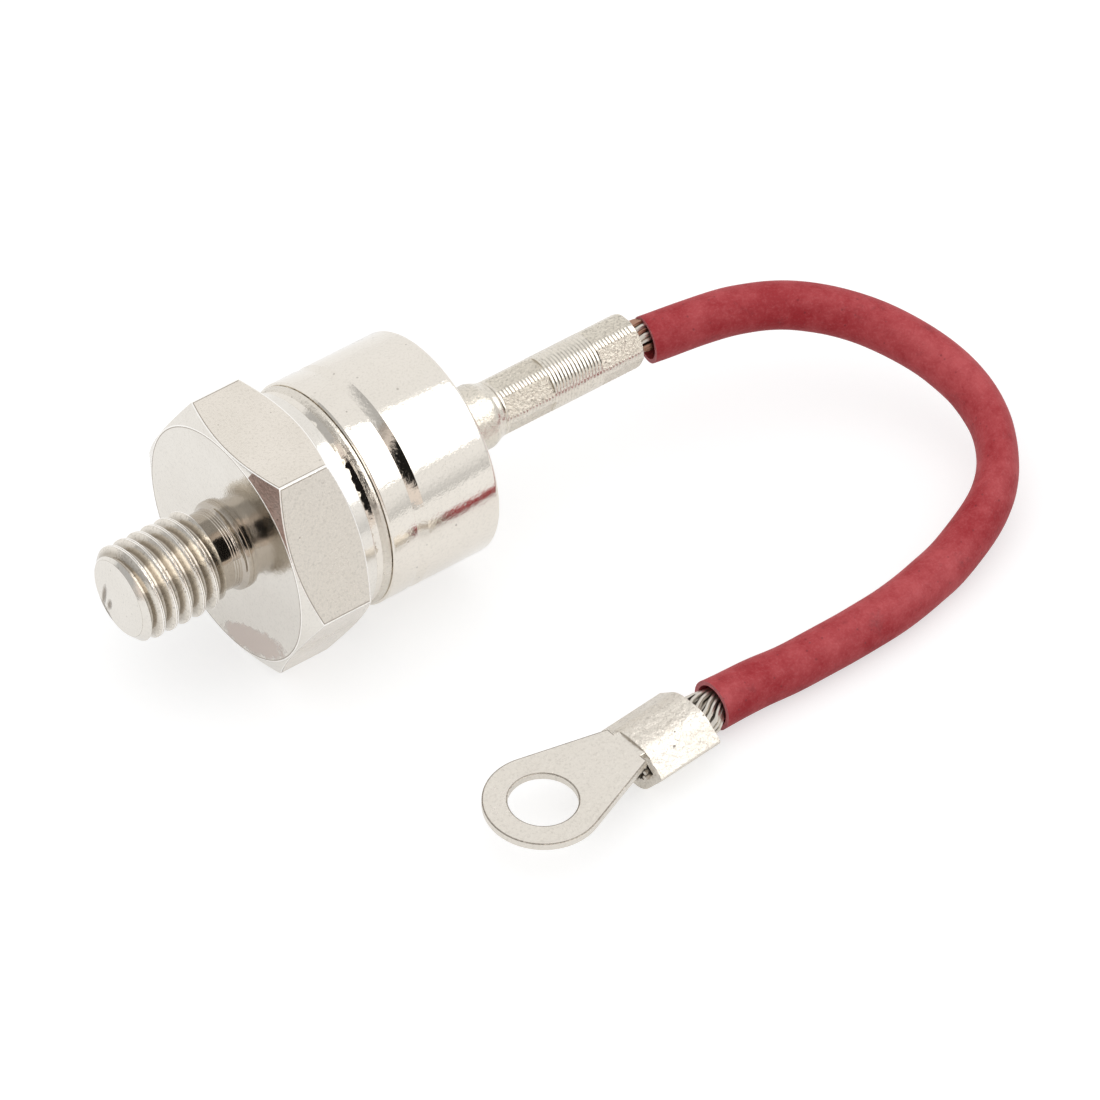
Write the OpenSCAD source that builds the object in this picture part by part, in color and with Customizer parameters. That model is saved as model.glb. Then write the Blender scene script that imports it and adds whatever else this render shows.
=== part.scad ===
// Stud diode: a threaded stud and hexagon turned in one piece, a welded can with a rolled groove,
// a crimped terminal tube in a glass seal, and a red sleeved lead that ends in a crimped ring lug.
// Millimetres. X runs along the turned axis from the stud to the lead, Z is up,
// and the part lies on one flat of its hexagon.

/* [Stud] */
// Outside diameter of the stud's thread
thread_d = 8; // [6:0.5:10]
// Length of the stud from its tip to the hexagon's seat face
stud_length = 10; // [8:0.5:20]
// Length of the cone that leads the thread in
tip_chamfer = 0.8; // [0.4:0.1:1.5]
// Diameter of the plain neck between the thread and the seat face
neck_d = 6.5; // [5:0.1:7]
// Length of the plain neck
neck_length = 2.3; // [1.5:0.1:4]
// Length of the cone from the neck up to the thread
run_out = 0.4; // [0.2:0.1:1]
// Diameter of the small bead at the neck's root
bead_d = 7.4; // [6.6:0.1:7.8]
// Length of the bead at the neck's root
bead_length = 0.5; // [0.2:0.1:1]

/* [Hexagon base] */
// Distance across the hexagon's flats
hex_af = 20; // [19.5:0.5:27]
// Length of the hexagon along the axis
hex_length = 6.3; // [4:0.1:10]
// How far each chamfered face's circle lies inside the flats
hex_chamfer_in = 0.1; // [0.05:0.05:0.5]
// Angle of the chamfer at the hexagon's corners
hex_chamfer_angle = 30; // [15:1:35]
// Length of the round collar behind the hexagon
collar_length = 1.4; // [0.8:0.1:4]
// How far the collar's side lies inside the cap's side
collar_step = 0.2; // [0.1:0.05:0.6]
// Bevel on the collar's rear edge
collar_bevel = 0.15; // [0.05:0.05:0.4]

/* [Weld ring] */
// Length of the weld ring between the collar and the cap
ring_length = 1.4; // [1:0.1:3]
// Radial width of the weld ring
ring_width = 1.5; // [1.2:0.1:2.5]
// How far the weld ring's side lies inside the cap's side
ring_step = 0.33; // [0.2:0.01:0.6]
// Depth of the groove at the weld ring's foot
ring_groove_depth = 0.3; // [0.1:0.05:0.5]
// Length of the groove's floor at the weld ring's foot
ring_groove_length = 0.25; // [0.1:0.05:0.6]
// Length of the slope from the groove up to the weld ring's side
ring_slope = 0.5; // [0.2:0.1:0.7]

/* [Cap] */
// Outside diameter of the cap
cap_d = 18.8; // [17:0.1:19.4]
// Length of the cap's side
cap_length = 10.15; // [8:0.05:16]
// Wall thickness of the cap's side
cap_wall = 0.9; // [0.6:0.1:1.2]
// Thickness of the cap's closed end
cap_end = 1.2; // [0.8:0.1:2]
// Bevel on the cap's front edge
cap_bevel = 0.35; // [0.1:0.05:0.6]
// Radius on the cap's rear edge
cap_round = 0.4; // [0.2:0.1:0.8]
// Distance from the cap's front edge to the middle of its rolled groove
groove_place = 2.85; // [2:0.05:6]
// Width of the rolled groove
groove_width = 0.95; // [0.6:0.05:1.5]
// Depth of the rolled groove
groove_depth = 0.35; // [0.15:0.05:0.5]

/* [Glass seal] */
// Diameter of the hole in the cap's end that the glass fills
seal_d = 8.4; // [7:0.1:12]
// Height of the glass above the cap's end
seal_rise = 0.5; // [0.2:0.1:1]
// Radial width of the glass's raised part beyond the tube's foot
seal_collar = 0.8; // [0.4:0.1:1]

/* [Terminal tube] */
// Diameter of the tube's thick foot
foot_d = 5.4; // [5:0.1:6.2]
// Height of the foot above the cap's end
foot_height = 5; // [2:0.1:8]
// Length of the taper from the foot to the tube
foot_taper = 0.5; // [0.3:0.1:1.5]
// Outside diameter of the tube
tube_d = 4.6; // [4.4:0.1:4.9]
// Length of round tube between the taper and the first crimp
tube_neck = 0.6; // [0.2:0.1:2]
// Length of the first crimp, which grips the inner stem
crimp_a_length = 4.4; // [3:0.1:8]
// Length of round tube between the two crimps
band_length = 4.7; // [3:0.1:8]
// Length of the second crimp, which grips the lead
crimp_b_length = 3.95; // [3:0.05:8]
// Distance across the flats of both crimps
crimp_af = 4.25; // [4:0.05:4.5]
// Turn of the crimps' flats about the axis
crimp_turn = 8; // [0:1:30]
// Bevel on the tube's mouth
mouth_bevel = 0.15; // [0.05:0.05:0.3]

/* [Junction] */
// Diameter of the lower contact plate
lower_plate_d = 10; // [9.2:0.1:12]
// Thickness of the lower contact plate
lower_plate_t = 0.8; // [0.4:0.1:1.5]
// Diameter of the silicon die
die_d = 9; // [7.5:0.1:9.5]
// Thickness of the silicon die
die_t = 0.4; // [0.2:0.05:0.8]
// Diameter of the upper contact plate
upper_plate_d = 7; // [6.2:0.1:8]
// Thickness of the upper contact plate
upper_plate_t = 0.8; // [0.4:0.1:1.5]
// Diameter of the inner stem's head
stem_head_d = 6; // [4:0.1:6.5]
// Thickness of the inner stem's head
stem_head_t = 1; // [0.6:0.1:2]
// Gap in the tube between the stem and the lead's end
stem_gap = 1; // [0.3:0.1:2]

/* [Lead] */
// Diameter of the stranded conductor
conductor_d = 3; // [2.4:0.1:3.2]
// Radial room between the conductor or stem and the crimped metal round it
crimp_clearance = 0.05; // [0.02:0.01:0.1]
// Depth that the conductor reaches into the tube
conductor_depth = 6.5; // [4:0.1:8]
// Radial room between the conductor and the sleeve
sleeve_clearance = 0.1; // [0.05:0.01:0.3]
// Wall thickness of the sleeve
sleeve_wall = 0.35; // [0.2:0.05:0.6]
// Bare conductor between the tube's mouth and the sleeve
bare_start = 1.3; // [0.5:0.1:3]

/* [Ring lug] */
// Diameter of the lug's screw hole
lug_hole_d = 5.4; // [4.3:0.1:6.4]
// Outside diameter of the lug's ring
lug_ring_d = 9.3; // [8:0.1:12]
// Thickness of the lug's tongue
lug_sheet = 0.65; // [0.5:0.05:1]
// Distance from the screw hole to the barrel's rear end
lug_reach = 15.2; // [13:0.1:20]
// Length of the barrel
barrel_length = 6.15; // [5:0.05:9]
// Height of the flattened barrel
barrel_height = 4.5; // [4.4:0.1:5.2]
// Width of the flattened barrel
barrel_width = 7; // [6.4:0.1:7.6]
// Width of the flat on the barrel's top and bottom
barrel_flat = 2.9; // [2.6:0.1:3.8]
// Height of the barrel's side corners above its middle
barrel_corner = 0.5; // [0:0.1:0.8]
// Wall thickness of the barrel's sides
barrel_wall = 0.85; // [0.6:0.05:1]
// Width of the tongue at its rear end
tongue_width = 4.4; // [4:0.1:5.2]
// Distance from the tongue's rear end to the barrel
tongue_gap = 0.45; // [0.2:0.05:1]
// Width of the neck between the tongue and the barrel
tongue_neck = 3; // [2.4:0.1:3.4]
// Length of the neck's root that runs into the barrel's top wall
tongue_root = 0.8; // [0.4:0.1:2]
// How far the tongue's top lies below the barrel's top
tongue_drop = 0.2; // [0.1:0.05:0.4]

/* [Hidden] */
$fn = 96;
// Small overrun that carries a cut past a face
cut = 1;
// Number of sides of the swept lead
cord_sides = 8;

// Heights along the axis, measured from the seat face
collar_end = hex_length + collar_length;
ring_end = collar_end + ring_length;
cap_rear = ring_end + cap_length;
foot_end = cap_rear + foot_height;
tube_start = foot_end + foot_taper;
crimp_a_start = tube_start + tube_neck;
crimp_a_end = crimp_a_start + crimp_a_length;
crimp_b_start = crimp_a_end + band_length;
mouth = crimp_b_start + crimp_b_length;
stem_end = mouth - conductor_depth - stem_gap;

// Diameters that follow from the pieces they meet
collar_d = cap_d - 2 * collar_step;
ring_d = cap_d - 2 * ring_step;
hex_chamfer_d = hex_af - 2 * hex_chamfer_in;
bore_d = conductor_d + 2 * crimp_clearance;
hollow_height = conductor_d * cos(180 / cord_sides) + 2 * crimp_clearance;
stem_d = conductor_d;
sleeve_in = conductor_d + 2 * sleeve_clearance;
sleeve_d = sleeve_in + 2 * sleeve_wall;
groove_r = (groove_width * groove_width / 4 + groove_depth * groove_depth) / (2 * groove_depth);

// Heights of the stack on the collar
die_start = collar_end + lower_plate_t;
upper_start = die_start + die_t;
head_start = upper_start + upper_plate_t;
head_end = head_start + stem_head_t;

// Place of the turned axis, with the body's length centred on the origin
seat_x = (stud_length - mouth) / 2;
axis_z = hex_af / 2;
mouth_x = seat_x + mouth;

// Place and heading of the lug, which lies with a flat of its barrel down
barrel_z = barrel_height / 2;
barrel_rear = [7.865, -29.965, barrel_z];
lug_turn = 5.65;
lug_heading = [cos(lug_turn), sin(lug_turn), 0];

// Centre line of the sleeve, from the tube's side to the lug's side
SLEEVE_ROUTE = [
    [mouth_x + bare_start, -0.3, axis_z - 0.1],
    [31, -1.4, 9.7],
    [34, -2.1, 9.5],
    [37, -3.2, 9.1],
    [39.7, -5.1, 8.6],
    [42, -7.4, 7.9],
    [43.8, -10.1, 7.1],
    [45.1, -13.2, 6.2],
    [45.6, -16.6, 5.3],
    [45, -20, 4.4],
    [43, -23.3, 3.6],
    [40, -25.7, 2.9],
    [35.2, -27.7, 2.2],
    [31.7, -28.6, 2],
    [28, -29.3, 2],
    [24.5, -29.6, 2],
    [21, -29.7, 2],
    [17.6, -29.7, 2],
    [14.2, -29.5, 2.1],
    [10.2, -29.6, 2.3]
];
// Centre line of the conductor, from inside the tube to the barrel's front end
CONDUCTOR_ROUTE = concat(
    [[mouth_x - conductor_depth, 0, axis_z], [mouth_x, 0, axis_z]],
    SLEEVE_ROUTE,
    [barrel_rear, barrel_rear - barrel_length * lug_heading]
);

// Stands a piece that is drawn along Z on the turned axis, with the seat face at its zero
module on_axis() {
    translate([seat_x, 0, axis_z])
        rotate([0, 90, 0])
            children();
}

// Hexagon bar along Z with a flat to the front of X
module hex_bar(af, from, to) {
    translate([0, 0, from])
        rotate([0, 0, 30])
            cylinder(d = af / cos(30), h = to - from, $fn = 6);
}

// Round bar along Z
module bar(d, from, to) {
    translate([0, 0, from])
        cylinder(d = d, h = to - from);
}

// Round bar along Z whose diameter changes from one end to the other
module taper(d_from, d_to, from, to) {
    translate([0, 0, from])
        cylinder(d1 = d_from, d2 = d_to, h = to - from);
}

// Tube with both ends crimped to rounded hexagons
module crimped(d, af, turn, from, to) {
    intersection() {
        bar(d, from, to);
        rotate([0, 0, -turn])
            hex_bar(af, from - cut, to + cut);
    }
}

// Unit vector along v
function unit(v) = v / norm(v);
// Heading of the route p at its point i
function heading(p, i) =
    i == 0 ? unit(p[1] - p[0])
    : i == len(p) - 1 ? unit(p[i] - p[i - 1])
    : unit(unit(p[i + 1] - p[i]) + unit(p[i] - p[i - 1]));
// Level direction square to the heading t
function across(t) = unit(cross(t, [0, 0, 1]));
// Ring of points round the route p at its point i
function ring(p, i, r) =
    let (t = heading(p, i), s = across(t), u = cross(s, t))
    [for (k = [0 : cord_sides - 1])
        let (a = (k + 0.5) * 360 / cord_sides)
        p[i] + r * (cos(a) * s + sin(a) * u)];
// All rings of a sweep along p, one after the other
function rings(p, r) = [for (i = [0 : len(p) - 1]) each ring(p, i, r)];
// Side faces of a sweep with n rings whose points start at index base
function walls(n, base) =
    [for (i = [0 : n - 2], k = [0 : cord_sides - 1])
        let (a = base + i * cord_sides, m = (k + 1) % cord_sides)
        each [[a + k, a + m, a + cord_sides + m], [a + k, a + cord_sides + m, a + cord_sides + k]]];
// The same faces turned inside out
function turned(f) = [for (t = f) [t[2], t[1], t[0]]];
// Faces of a flat rim between an outer and an inner ring of points
function rim(o, n) =
    [for (k = [0 : cord_sides - 1])
        let (m = (k + 1) % cord_sides)
        each [[o + k, n + k, n + m], [o + k, n + m, o + m]]];

// Solid cord along the route p
module solid_cord(p, r) {
    n = len(p);
    first = [for (k = [cord_sides - 1 : -1 : 0]) k];
    last = [for (k = [0 : cord_sides - 1]) (n - 1) * cord_sides + k];
    polyhedron(points = rings(p, r), faces = concat(walls(n, 0), [first], [last]));
}

// Hollow cord along the route p
module hollow_cord(p, r_out, r_in) {
    n = len(p);
    inner = n * cord_sides;
    end = (n - 1) * cord_sides;
    polyhedron(
        points = concat(rings(p, r_out), rings(p, r_in)),
        faces = concat(walls(n, 0), turned(walls(n, inner)), rim(0, inner), turned(rim(end, inner + end)))
    );
}

// Stud, hexagon and collar, turned from one copper bar and nickel plated
module stud_base() {
    color("#B9B4AA")
    on_axis() {
        rotate_extrude()
            turned_outline();
        hexagon();
    }
}

// Half section of the stud, its neck and the collar, which run on inside the hexagon
module turned_outline() {
    middle = hex_length / 2;
    polygon([
        [0, -stud_length],
        [thread_d / 2 - tip_chamfer, -stud_length],
        [thread_d / 2, tip_chamfer - stud_length],
        [thread_d / 2, -neck_length - run_out],
        [neck_d / 2, -neck_length],
        [neck_d / 2, -bead_length],
        [bead_d / 2, -bead_length],
        [bead_d / 2, middle],
        [collar_d / 2, middle],
        [collar_d / 2, collar_end - collar_bevel],
        [collar_d / 2 - collar_bevel, collar_end],
        [0, collar_end]
    ]);
}

// Hexagon with its corners chamfered on both faces
module hexagon() {
    half = hex_length / 2;
    reach = hex_chamfer_d / 2 + half / tan(hex_chamfer_angle);
    intersection() {
        hex_bar(hex_af, 0, hex_length);
        rotate_extrude()
            polygon([
                [0, 0],
                [hex_chamfer_d / 2, 0],
                [reach, half],
                [hex_chamfer_d / 2, hex_length],
                [0, hex_length]
            ]);
    }
}

// Steel ring brazed to the collar, which carries the cap's weld
module weld_ring() {
    color("#A9A194")
    on_axis()
        rotate_extrude()
            polygon([
                [ring_d / 2 - ring_width, collar_end],
                [ring_d / 2 - ring_groove_depth, collar_end],
                [ring_d / 2 - ring_groove_depth, collar_end + ring_groove_length],
                [ring_d / 2, collar_end + ring_groove_length + ring_slope],
                [ring_d / 2, ring_end],
                [ring_d / 2 - ring_width, ring_end]
            ]);
}

// Drawn steel cap with a groove rolled round its side and a hole for the glass in its end
module cap() {
    color("#C4BFB5")
    on_axis()
        rotate_extrude()
            difference() {
                union() {
                    cap_outline();
                    cap_bead();
                }
                translate([cap_d / 2 - groove_depth + groove_r, ring_end + groove_place])
                    circle(r = groove_r);
            }
}

// Half section of the cap without its groove
module cap_outline() {
    side = cap_d / 2;
    difference() {
        union() {
            polygon([
                [0, ring_end],
                [side - cap_bevel, ring_end],
                [side, ring_end + cap_bevel],
                [side, cap_rear - cap_round],
                [side - cap_round, cap_rear - cap_round],
                [side - cap_round, cap_rear],
                [0, cap_rear]
            ]);
            translate([side - cap_round, cap_rear - cap_round])
                circle(r = cap_round);
        }
        translate([-cut, ring_end - cut])
            square([side - cap_wall + cut, cap_length - cap_end + cut]);
        translate([-cut, cap_rear - cap_end - cut])
            square([seal_d / 2 + cut, cap_end + 2 * cut]);
    }
}

// Bead that the rolled groove raises on the inside of the cap's wall
module cap_bead() {
    intersection() {
        translate([cap_d / 2 - groove_depth + groove_r, ring_end + groove_place])
            circle(r = groove_r + cap_wall);
        translate([0, ring_end])
            square([cap_d / 2, cap_length]);
    }
}

// Glass that holds the tube's foot in the cap's end and keeps it apart from the cap
module glass_seal() {
    color("#3E5A4C")
    on_axis()
        rotate_extrude()
            polygon([
                [foot_d / 2, cap_rear - cap_end],
                [seal_d / 2, cap_rear - cap_end],
                [seal_d / 2, cap_rear],
                [foot_d / 2 + seal_collar, cap_rear],
                [foot_d / 2, cap_rear + seal_rise]
            ]);
}

// Copper tube with a thick foot, crimped to the inner stem and to the lead
module terminal_tube() {
    color("#BDB7AB")
    on_axis()
        difference() {
            union() {
                bar(foot_d, cap_rear - cap_end, foot_end);
                taper(foot_d, tube_d, foot_end, tube_start);
                bar(tube_d, tube_start, crimp_a_start);
                crimped(tube_d, crimp_af, crimp_turn, crimp_a_start, crimp_a_end);
                bar(tube_d, crimp_a_end, crimp_b_start);
                crimped(tube_d, crimp_af, crimp_turn, crimp_b_start, mouth);
            }
            bar(bore_d, cap_rear - cap_end - cut, mouth + cut);
            taper(bore_d, bore_d + 2 * mouth_bevel + 2 * cut, mouth - mouth_bevel, mouth + cut);
        }
}

// Nail-headed copper stem that carries the current from the die up into the tube
module inner_stem() {
    color("#C07A4A")
    on_axis() {
        bar(stem_head_d, head_start, head_end);
        bar(stem_d, head_end, stem_end);
    }
}

// Molybdenum plate between the die and the stem's head
module upper_plate() {
    color("#8A8C90")
    on_axis()
        bar(upper_plate_d, upper_start, head_start);
}

// Silicon die that rectifies the current
module silicon_die() {
    color("#4A505C")
    on_axis()
        bar(die_d, die_start, upper_start);
}

// Molybdenum plate between the collar and the die
module lower_plate() {
    color("#8A8C90")
    on_axis()
        bar(lower_plate_d, collar_end, die_start);
}

// Stranded copper conductor from the tube to the lug
module lead_conductor() {
    color("#B87B55")
    solid_cord(CONDUCTOR_ROUTE, conductor_d / 2);
}

// Red sleeve over the conductor
module lead_sleeve() {
    color("#B5404A")
    hollow_cord(SLEEVE_ROUTE, sleeve_d / 2, sleeve_in / 2);
}

// Tinned copper lug with a flat ring and a barrel flattened on the conductor
module ring_lug() {
    color("#C8C4BA")
    translate(barrel_rear)
        rotate([0, 0, lug_turn])
            difference() {
                union() {
                    barrel_bar(barrel_length, 0)
                        pressed(barrel_width / 2, barrel_height / 2, barrel_flat / 2, barrel_corner);
                    translate([-lug_reach, 0, barrel_height / 2 - tongue_drop - lug_sheet])
                        linear_extrude(height = lug_sheet)
                            tongue();
                }
                barrel_bar(barrel_length + cut, cut)
                    pressed(
                        barrel_width / 2 - 1.3 * barrel_wall,
                        hollow_height / 2,
                        barrel_flat / 2 - 0.4 * barrel_wall,
                        0.75 * barrel_corner
                    );
                translate([-lug_reach, 0, -barrel_height])
                    cylinder(d = lug_hole_d, h = 2 * barrel_height);
            }
}

// Bar along X that runs from behind the barrel's rear end to in front of it
module barrel_bar(behind, ahead) {
    translate([-behind, 0, 0])
        rotate([90, 0, 90])
            linear_extrude(height = behind + ahead)
                children();
}

// Six-sided outline with a flat top and bottom, from its half sizes and its side corners' height
module pressed(wide, high, flat, corner) {
    polygon([
        [flat, high],
        [-flat, high],
        [-wide, corner],
        [-flat, -high],
        [flat, -high],
        [wide, corner]
    ]);
}

// Flat outline of the ring, the tongue and its neck, with the screw hole's centre at the origin
module tongue() {
    front = lug_reach - barrel_length;
    root = [front - tongue_gap, tongue_width / 2];
    lean = atan2(root[1], root[0]) + acos(lug_ring_d / 2 / norm(root));
    touch = lug_ring_d / 2 * [cos(lean), sin(lean)];
    neck = [front + tongue_root, tongue_neck / 2];
    circle(d = lug_ring_d);
    polygon([
        touch,
        root,
        [root[0], neck[1]],
        neck,
        [neck[0], -neck[1]],
        [root[0], -neck[1]],
        [root[0], -root[1]],
        [touch[0], -touch[1]]
    ]);
}

stud_base();
weld_ring();
cap();
glass_seal();
terminal_tube();
inner_stem();
upper_plate();
silicon_die();
lower_plate();
lead_conductor();
lead_sleeve();
ring_lug();
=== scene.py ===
# %% [markdown]
# # A stud diode, piece by piece
# A stud diode is a rectifier that bolts to a heat sink. Its hexagon and stud are turned from one copper
# bar, a steel cap is welded on behind, and a red lead leaves through a crimped tube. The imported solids
# are loaded first: they fix every size and place, and each piece below is made over them in metres, in
# the same frame.

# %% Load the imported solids
import math
import random

import bpy
from mathutils import Matrix, Vector, noise


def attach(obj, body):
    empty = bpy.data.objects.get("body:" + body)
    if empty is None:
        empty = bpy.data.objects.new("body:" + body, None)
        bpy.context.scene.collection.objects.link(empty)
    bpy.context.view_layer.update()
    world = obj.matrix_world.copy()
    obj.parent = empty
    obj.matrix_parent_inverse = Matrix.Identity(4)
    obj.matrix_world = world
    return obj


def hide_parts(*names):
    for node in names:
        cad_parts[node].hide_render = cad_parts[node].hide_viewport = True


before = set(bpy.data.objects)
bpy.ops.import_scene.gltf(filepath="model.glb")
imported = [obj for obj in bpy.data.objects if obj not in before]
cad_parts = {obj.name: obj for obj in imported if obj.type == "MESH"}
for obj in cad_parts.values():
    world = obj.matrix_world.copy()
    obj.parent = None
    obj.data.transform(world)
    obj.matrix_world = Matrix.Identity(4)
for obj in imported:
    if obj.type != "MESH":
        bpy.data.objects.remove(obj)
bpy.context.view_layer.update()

MM = 0.001
print("solids loaded:", sorted(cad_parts))

# %% [markdown]
# ## Camera
# The photograph was taken from far off with a long lens, from the stud's side and about 45 degrees up. A
# camera could be aimed by hand, but its eye, roll and lens were worked out from the hexagon's corners and
# the turned rims, so they are written here as one matrix: right, up and back are its columns.

# %% Place the camera
VIEW_TURN = math.radians(-37.564)
VIEW_RISE = math.radians(45.229)
VIEW_ROLL = math.radians(1.279)
VIEW_EYE = Vector((-319.563, -437.675, 547.497)) * MM
LENS_MM = 324.34

back = Vector((
    math.sin(VIEW_TURN) * math.cos(VIEW_RISE),
    -math.cos(VIEW_TURN) * math.cos(VIEW_RISE),
    math.sin(VIEW_RISE),
))
level = Vector((math.cos(VIEW_TURN), math.sin(VIEW_TURN), 0))
upright = back.cross(level)
right = math.cos(VIEW_ROLL) * level + math.sin(VIEW_ROLL) * upright
above = -math.sin(VIEW_ROLL) * level + math.cos(VIEW_ROLL) * upright
bpy.ops.object.camera_add()
camera = bpy.context.object
camera.matrix_world = Matrix((
    (right.x, above.x, back.x, VIEW_EYE.x),
    (right.y, above.y, back.y, VIEW_EYE.y),
    (right.z, above.z, back.z, VIEW_EYE.z),
    (0, 0, 0, 1),
))
camera.data.lens = LENS_MM
camera.data.sensor_width = 36
camera.data.clip_end = 20
bpy.context.scene.camera = camera
print("camera", round(VIEW_EYE.length / MM), "mm from the origin")

# %% [markdown]
# ## Lead
# The lead is a stranded copper conductor in a soft red sleeve. It leaves the tube along the axis, bends
# over in one loop and comes down to the surface, where it lies as far as the lug. A bevelled curve would
# give a perfect round tube, but the real sleeve is squeezed oval at the bend and opens a little at its
# cut ends, so rings are laid along the route and joined, each with its own shape.

# %% Route of the lead
AXIS_Z = 10 * MM
SEAT_X = -14.2 * MM
MOUTH = Vector((24.2, 0, 10)) * MM
TUBE_DEPTH = 6.5 * MM
BARREL_REAR = Vector((7.865, -29.965, 2.25)) * MM
BARREL_LENGTH = 6.15 * MM
LUG_TURN = math.radians(5.65)
LUG_HEADING = Vector((math.cos(LUG_TURN), math.sin(LUG_TURN), 0))
SLEEVE_D = 3.9 * MM
SLEEVE_WALL = 0.35 * MM
sleeve_route = [Vector(point) * MM for point in (
    (25.6, -0.5, 9.6), (31, -1.4, 9.65), (34, -2.1, 9.5), (37, -3.2, 9.1), (39.7, -5.1, 8.6),
    (42, -7.4, 7.9), (43.8, -10.1, 7.1), (45.1, -13.2, 6.2), (45.6, -16.6, 5.3), (45, -20, 4.4),
    (43, -23.3, 3.6), (40, -25.7, 2.9), (35.2, -27.7, 2.2), (31.7, -28.6, 2), (28, -29.3, 2),
    (24.5, -29.6, 2), (21, -29.7, 2), (17.6, -29.7, 2), (14.2, -29.5, 2.1), (10.2, -29.6, 2.3),
)]
conductor_route = [
    MOUTH - Vector((TUBE_DEPTH, 0, 0)), MOUTH, Vector((26, -0.3, 9.85)) * MM, *sleeve_route[1:],
    BARREL_REAR, BARREL_REAR - BARREL_LENGTH * LUG_HEADING,
]


def flowing(points, step):
    """Points about one step apart on a smooth curve through the given ones."""
    ends = [2 * points[0] - points[1], *points, 2 * points[-1] - points[-2]]
    path = []
    for a, b, c, d in zip(ends, ends[1:], ends[2:], ends[3:]):
        parts = max(1, round((c - b).length / step))
        for i in range(parts):
            t = i / parts
            path.append(0.5 * (2 * b + (c - a) * t + (2 * a - 5 * b + 4 * c - d) * t * t
                               + (3 * b - a - 3 * c + d) * t * t * t))
    return path + [points[-1]]


def run_of(path):
    """Distance along the path at each of its points."""
    run = [0.0]
    for a, b in zip(path, path[1:]):
        run.append(run[-1] + (b - a).length)
    return run


def stations(path):
    """Each point with the level and the upward direction square to the path there."""
    for i, point in enumerate(path):
        ahead = (path[min(i + 1, len(path) - 1)] - path[max(i - 1, 0)]).normalized()
        across = ahead.cross(Vector((0, 0, 1))).normalized()
        yield point, across, across.cross(ahead)


sleeve_path = flowing(sleeve_route, 0.45 * MM)
conductor_path = flowing(conductor_route, 0.9 * MM)
lead_length = run_of(conductor_path)[-1] - TUBE_DEPTH - BARREL_LENGTH
print("sleeve", round(run_of(sleeve_path)[-1] / MM, 1), "mm, lead from tube to lug",
      round(lead_length / MM, 1), "mm")

# %% [markdown]
# The sleeve's rings are ovals. Each takes the plain radius, a little waviness from seeded noise, a
# squeeze near the tight bend and a slight flare at the lug's end. An outer and an inner set of rings give
# it a real wall, so its ends look open.

# %% Sleeve
SLEEVE_SIDES = 36
BEND_AT = Vector((44.2, -21.6, 4.0)) * MM
BEND_REACH = 7 * MM
BEND_SQUEEZE, BEND_BULGE = 0.15, 0.7
LUG_FLARE, FLARE_REACH = 0.06, 2.5 * MM
WAVE, WAVE_LENGTH = 0.014, 3 * MM


def mesh_piece(name, points, faces):
    """A new object from points and faces, at the origin."""
    mesh = bpy.data.meshes.new(name)
    mesh.from_pydata([tuple(p) for p in points], [], faces)
    mesh.update()
    piece = bpy.data.objects.new(name, mesh)
    bpy.context.collection.objects.link(piece)
    return piece


def sleeve_points(path, radius):
    """All ring points of one wall of the sleeve."""
    run = run_of(path)
    for (point, across, over), along in zip(stations(path), run):
        squeeze = BEND_SQUEEZE * math.exp(-((point - BEND_AT).length / BEND_REACH) ** 2)
        lug_flare = LUG_FLARE * math.exp(-(run[-1] - along) / FLARE_REACH)
        for k in range(SLEEVE_SIDES):
            turn = math.tau * k / SLEEVE_SIDES
            wave = WAVE * noise.noise(Vector((along / WAVE_LENGTH, math.cos(turn), math.sin(turn))))
            reach = radius * (1 + lug_flare + wave)
            yield (point + across * reach * (1 - squeeze) * math.cos(turn)
                   + over * reach * (1 + BEND_BULGE * squeeze) * math.sin(turn))


def wall_faces(rings, sides, base, inward):
    """Quads between neighbouring rings, turned outwards or inwards."""
    for i in range(rings - 1):
        for k in range(sides):
            a, b = base + i * sides + k, base + i * sides + (k + 1) % sides
            quad = (a, b, b + sides, a + sides)
            yield quad if inward else quad[::-1]


rings = len(sleeve_path)
outer = list(sleeve_points(sleeve_path, SLEEVE_D / 2))
inner = list(sleeve_points(sleeve_path, SLEEVE_D / 2 - SLEEVE_WALL))
faces = [*wall_faces(rings, SLEEVE_SIDES, 0, False),
         *wall_faces(rings, SLEEVE_SIDES, len(outer), True)]
for k in range(SLEEVE_SIDES):
    m = (k + 1) % SLEEVE_SIDES
    last = (rings - 1) * SLEEVE_SIDES
    faces.append((k, m, len(outer) + m, len(outer) + k))
    faces.append((last + m, last + k, len(outer) + last + k, len(outer) + last + m))
sleeve = mesh_piece("red_sleeve", outer + inner, faces)
cut_ends = range(len(faces) - 2 * SLEEVE_SIDES, len(faces))
along_map = sleeve.data.uv_layers.new(name="lengthwise")
sleeve_run = run_of(sleeve_path)
for face in sleeve.data.polygons:
    spots = [divmod(sleeve.data.loops[i].vertex_index % len(outer), SLEEVE_SIDES)
             for i in face.loop_indices]
    at_seam = max(side for _, side in spots) - min(side for _, side in spots) > 1
    for i, (ring_index, side) in zip(face.loop_indices, spots):
        side += SLEEVE_SIDES if at_seam and side == 0 else 0
        along_map.data[i].uv = (sleeve_run[ring_index] / MM, side / SLEEVE_SIDES)
print("sleeve faces", len(sleeve.data.polygons))

# %% [markdown]
# ## Strands
# The conductor is a bundle of thin wires, laid up in rings of 6, 12 and 18 round one core wire. Only the
# short bare stretches show, but the bundle runs the whole way, as in the real lead. One wire is a thin
# tube on a slow helix, and its own number is kept on it so that the material can give some wires a tinned
# look and leave others copper.

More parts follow.
